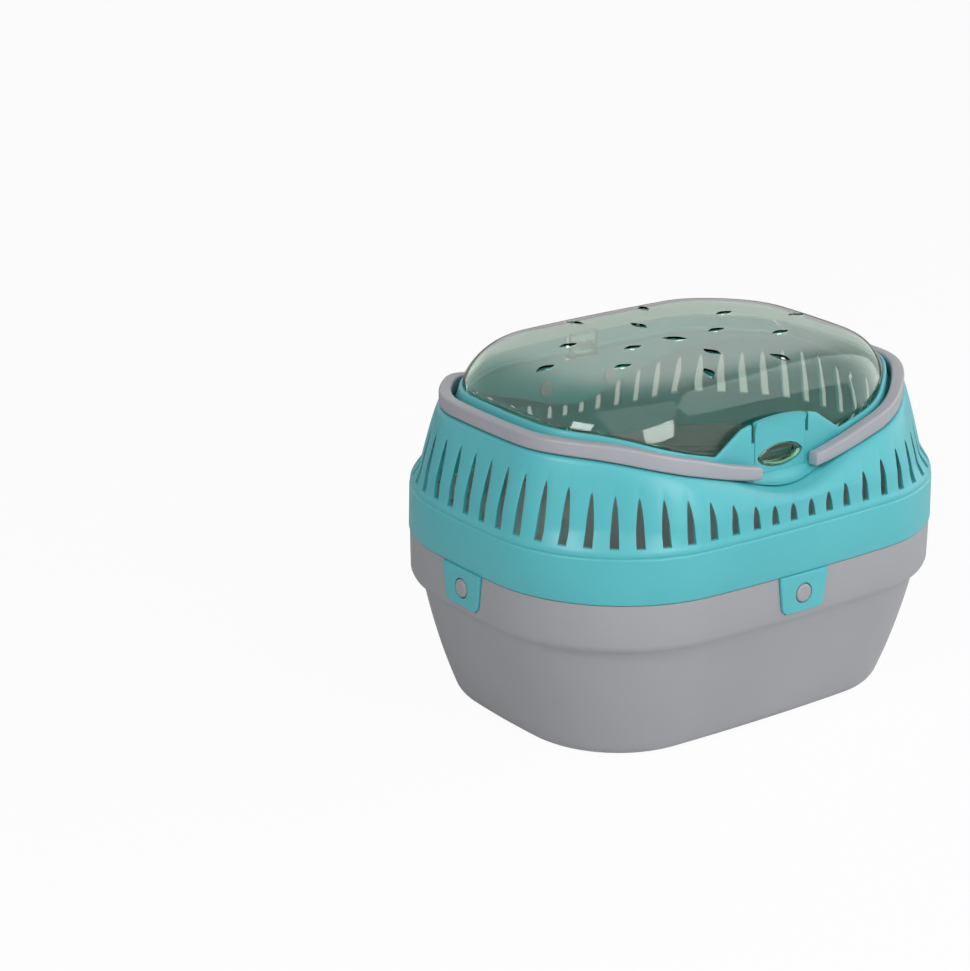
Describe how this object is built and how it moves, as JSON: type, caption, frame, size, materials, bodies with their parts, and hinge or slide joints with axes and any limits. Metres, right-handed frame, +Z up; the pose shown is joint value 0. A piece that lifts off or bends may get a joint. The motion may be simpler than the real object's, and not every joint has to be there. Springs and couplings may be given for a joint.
{
  "type": "small-animal carrier",
  "caption": "Oval plastic pet carrier: grey tub, slotted top shell with saddle-shaped rim, hinged clear domed lid, folding half handles and snap clips.",
  "frame": {"origin": "centre of the footprint, on the ground under the foot ring", "axes": "+X along the length towards the right end as seen from the front, +Y to the back where the lid's hinge is, +Z up; the latch faces -Y"},
  "size_m": [0.3032, 0.2352, 0.209],
  "materials": {
    "tub_plastic": "satin moulded grey plastic",
    "shell_plastic": "semi-gloss moulded turquoise plastic",
    "lid_plastic": "clear moulded plastic",
    "handle_plastic": "satin moulded light grey plastic"
  },
  "bodies": {
    "base": {"base_tub": "tub_plastic"},
    "shell": {"upper_shell": "shell_plastic"},
    "lid": {"clear_lid": "lid_plastic"},
    "handle_left": {"handle_left": "handle_plastic"},
    "handle_right": {"handle_right": "handle_plastic"},
    "latch": {"latch_tongue": "shell_plastic"},
    "clip_front": {"clip_front": "shell_plastic"},
    "clip_back": {"clip_back": "shell_plastic"},
    "clip_left": {"clip_left": "shell_plastic"},
    "clip_right": {"clip_right": "shell_plastic"}
  },
  "joints": [
    {"name": "shell_lift", "type": "slide", "parent": "base", "child": "shell", "axis": [0, 0, 1], "range_m": [0, 0.12]},
    {"name": "lid_hinge", "type": "hinge", "parent": "shell", "child": "lid", "pos_m": [0, 0.09585, 0.1775], "axis": [-1, 0, 0], "range_deg": [0, 95]},
    {"name": "handle_left_pivot", "type": "hinge", "parent": "shell", "child": "handle_left", "pos_m": [-0.0242, 0, 0.15968], "axis": [0, -1, 0], "range_deg": [-88, 0]},
    {"name": "handle_right_pivot", "type": "hinge", "parent": "shell", "child": "handle_right", "pos_m": [0.0242, 0, 0.15968], "axis": [0, 1, 0], "range_deg": [-88, 0]},
    {"name": "latch_flex", "type": "hinge", "parent": "shell", "child": "latch", "pos_m": [0, -0.0933, 0.1557], "axis": [1, 0, 0], "range_deg": [0, 6], "stiffness_Nm_per_rad": 0.8},
    {"name": "clip_front_flex", "type": "hinge", "parent": "shell", "child": "clip_front", "pos_m": [0, -0.1169, 0.10145], "axis": [-1, 0, 0], "range_deg": [0, 12], "stiffness_Nm_per_rad": 0.5},
    {"name": "clip_back_flex", "type": "hinge", "parent": "shell", "child": "clip_back", "pos_m": [0, 0.1169, 0.10145], "axis": [1, 0, 0], "range_deg": [0, 12], "stiffness_Nm_per_rad": 0.5},
    {"name": "clip_left_flex", "type": "hinge", "parent": "shell", "child": "clip_left", "pos_m": [-0.1509, 0, 0.10145], "axis": [0, 1, 0], "range_deg": [0, 12], "stiffness_Nm_per_rad": 0.5},
    {"name": "clip_right_flex", "type": "hinge", "parent": "shell", "child": "clip_right", "pos_m": [0.1509, 0, 0.10145], "axis": [0, -1, 0], "range_deg": [0, 12], "stiffness_Nm_per_rad": 0.5}
  ]
}
